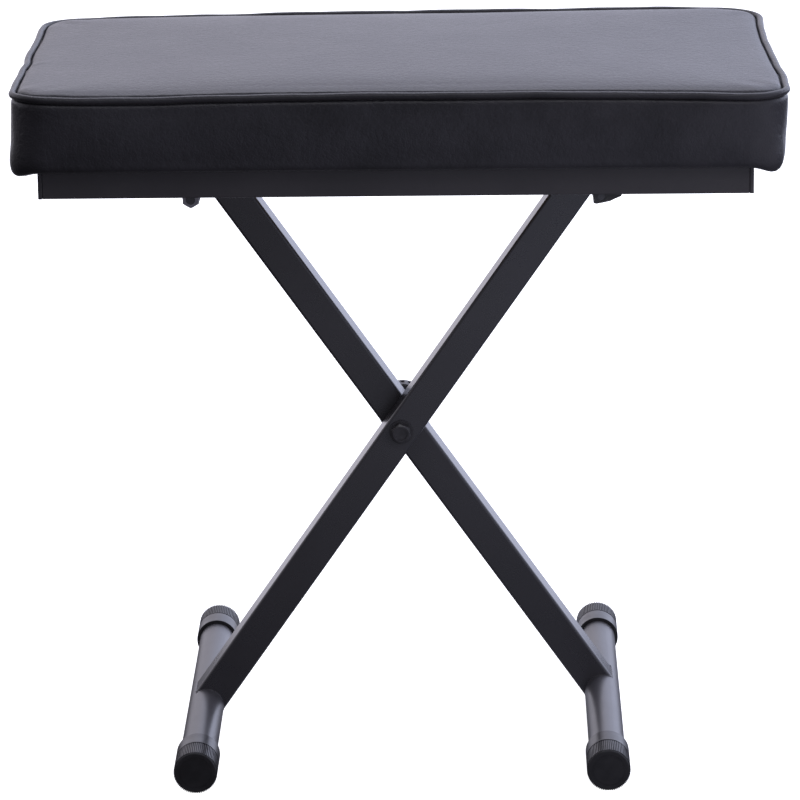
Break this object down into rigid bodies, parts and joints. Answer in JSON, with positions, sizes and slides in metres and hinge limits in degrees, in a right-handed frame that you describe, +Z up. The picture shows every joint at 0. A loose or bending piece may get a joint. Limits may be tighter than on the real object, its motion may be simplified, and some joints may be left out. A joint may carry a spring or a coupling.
{
  "type": "piano bench",
  "caption": "Keyboard bench with a padded black seat with piping, on one scissor pair of square steel legs with round foot bars; the seat height is clamped at the crossing.",
  "frame": {"origin": "on the floor, under the middle of the bench", "axes": "+X along the seat to the right, +Y from front to back, +Z up"},
  "size_m": [0.5248, 0.334, 0.4962],
  "materials": {
    "foam": "matt polyurethane foam",
    "vinyl": "satin black vinyl with a fine grain",
    "piping": "satin black vinyl",
    "plywood": "raw plywood",
    "frame_paint": "satin black powder coat",
    "zinc": "dull zinc plate",
    "black_bolt": "black oxide",
    "leg_paint": "satin black powder coat",
    "plug_plastic": "matt black plastic",
    "nylon": "black nylon",
    "cap_rubber": "matt black rubber"
  },
  "bodies": {
    "seat": {"foam_pad": "foam", "cover_top": "vinyl", "cover_band": "vinyl", "cover_piping": "piping", "seat_board": "plywood", "front_rail": "frame_paint", "rear_rail": "frame_paint", "left_rail": "frame_paint", "right_rail": "frame_paint", "frame_screws": "zinc", "pivot_bracket_front": "frame_paint", "pivot_bracket_rear": "frame_paint", "slide_guide_front": "frame_paint", "slide_guide_rear": "frame_paint", "pivot_thrust_washers": "nylon"},
    "rear_leg": {"rear_leg_tube": "leg_paint", "rear_leg_plug": "plug_plastic", "rear_leg_sleeve": "zinc", "right_foot_tube": "leg_paint", "right_foot_cap_rear": "cap_rubber", "right_foot_cap_front": "cap_rubber", "pivot_rod": "leg_paint", "pivot_rod_nuts": "black_bolt", "pivot_rod_washers": "zinc"},
    "front_leg": {"front_leg_tube": "leg_paint", "front_leg_plug": "plug_plastic", "front_leg_sleeve": "zinc", "left_foot_tube": "leg_paint", "left_foot_cap_front": "cap_rubber", "left_foot_cap_rear": "cap_rubber", "slide_rod": "leg_paint", "pivot_bolt": "black_bolt", "bolt_washer": "zinc", "leg_spacer": "nylon"},
    "slide_blocks": {"slide_block_front": "nylon", "slide_block_rear": "nylon"},
    "knob": {"clamp_knob": "plug_plastic", "knob_insert": "zinc", "knob_washer": "zinc"}
  },
  "joints": [
    {"name": "seat_height", "type": "hinge", "parent": "seat", "child": "rear_leg", "pos_m": [-0.1397, 0, 0.4125], "axis": [0, -1, 0], "range_deg": [0, 9.6]},
    {"name": "leg_crossing", "type": "hinge", "parent": "rear_leg", "child": "front_leg", "pos_m": [0, 0, 0.21979], "axis": [0, -1, 0], "range_deg": [-19.2, 0]},
    {"name": "slide_pin", "type": "hinge", "parent": "front_leg", "child": "slide_blocks", "pos_m": [0.1397, 0, 0.4125], "axis": [0, -1, 0], "range_deg": [0, 9.6]},
    {"name": "knob_turn", "type": "hinge", "parent": "front_leg", "child": "knob", "pos_m": [0, 0.045, 0.21979], "axis": [0, 1, 0], "continuous": true}
  ],
  "couplings": [
    {"joint": "leg_crossing", "follows": "seat_height", "ratio": -2},
    {"joint": "slide_pin", "follows": "seat_height", "ratio": 1}
  ]
}
